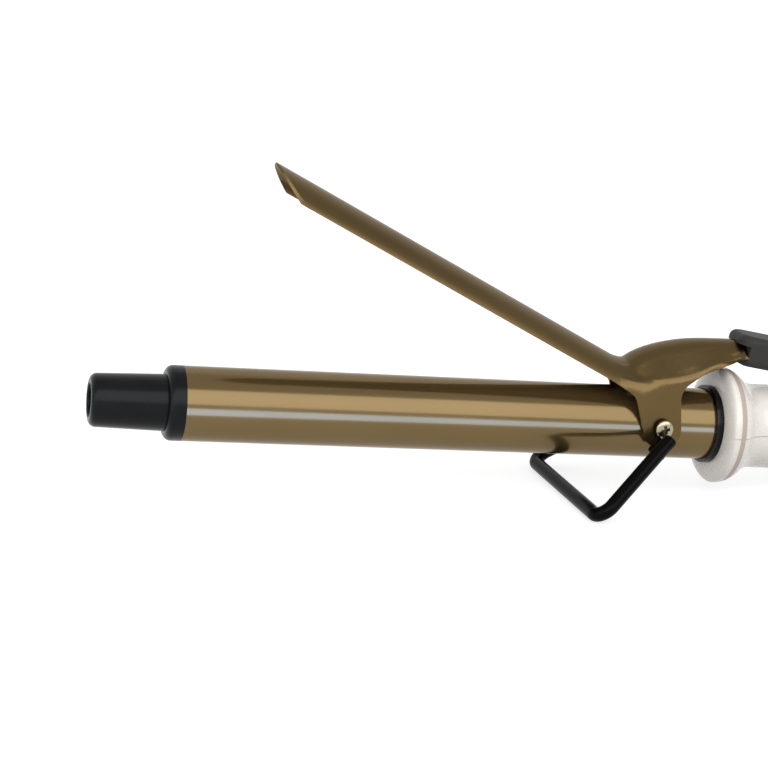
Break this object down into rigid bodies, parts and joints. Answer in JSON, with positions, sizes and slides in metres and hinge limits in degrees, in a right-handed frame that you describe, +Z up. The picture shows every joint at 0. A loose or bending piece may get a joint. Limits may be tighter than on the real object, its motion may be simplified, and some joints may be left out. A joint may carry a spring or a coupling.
{
  "type": "curling iron",
  "caption": "Curling iron: bronze barrel with a black cool tip, sprung one-piece clamp with a thumb lever, folding wire stand and a pale handle with a slide switch and cord swivel.",
  "frame": {"origin": "on the table, under the middle of the iron's length and width", "axes": "+X runs from the barrel's tip towards the handle, +Z is up, +Y is along the clamp's pivot; the barrel axis leans down towards the handle as the iron lies on its stand"},
  "size_m": [0.374, 0.0724, 0.1163],
  "materials": {
    "barrel": "polished champagne-bronze coating",
    "clamp": "satin bronze coating on steel sheet",
    "tip": "matt moulded",
    "collar": "glossy",
    "handle": "pearl white, glossy",
    "trim": "beige, satin",
    "grip": "charcoal, soft-touch",
    "stand": "glossy black coating on steel wire",
    "screw": "bright plated",
    "steel": "plain",
    "spreader": "extruded",
    "ceramic": "fired",
    "brass": "plain",
    "board": "green laminate",
    "switch": "moulded",
    "slider": "beige, satin",
    "lens": "clear red",
    "swivel": "pale, satin"
  },
  "bodies": {
    "iron": {"barrel_tube": "barrel", "tip_cap": "tip", "tip_screw": "steel", "tip_nut_plate": "steel", "heat_spreader_upper": "spreader", "heat_spreader_lower": "spreader", "heater_plate": "ceramic", "thermal_fuse": "ceramic", "insulating_plug": "ceramic", "heater_leads": "brass", "pivot_bushes": "steel", "pivot_screws": "screw", "barrel_collar": "collar", "handle_upper_shell": "handle", "handle_lower_shell": "handle", "trim_ring": "trim", "handle_screws": "steel", "circuit_board": "board", "slide_switch": "switch", "indicator_lens": "lens", "indicator_lamp": "lens", "contact_brushes": "brass"},
    "clamp": {"clamp_stamping": "clamp", "lever_grip": "grip", "clamp_spring": "steel"},
    "stand": {"stand_wire": "stand"},
    "slider": {"power_slider": "slider"},
    "swivel": {"cord_swivel": "swivel", "slip_rings": "brass"}
  },
  "joints": [
    {"name": "clamp_hinge", "type": "hinge", "parent": "iron", "child": "clamp", "pos_m": [0.00889, 0, 0.02714], "axis": [0, 1, 0], "range_deg": [-25, 2], "stiffness_Nm_per_rad": 0.25, "springref_deg": -51.57, "deforming": ["clamp_spring"]},
    {"name": "stand_swing", "type": "hinge", "parent": "iron", "child": "stand", "pos_m": [0.00889, 0, 0.02714], "axis": [0, 1, 0], "range_deg": [-92, 14]},
    {"name": "power_slide", "type": "slide", "parent": "iron", "child": "slider", "axis": [0.9979, 0, -0.0654], "range_m": [0, 0.005]},
    {"name": "swivel_turn", "type": "hinge", "parent": "iron", "child": "swivel", "pos_m": [0.1697, 0, 0.01525], "axis": [0.9979, 0, -0.0654], "continuous": true}
  ]
}
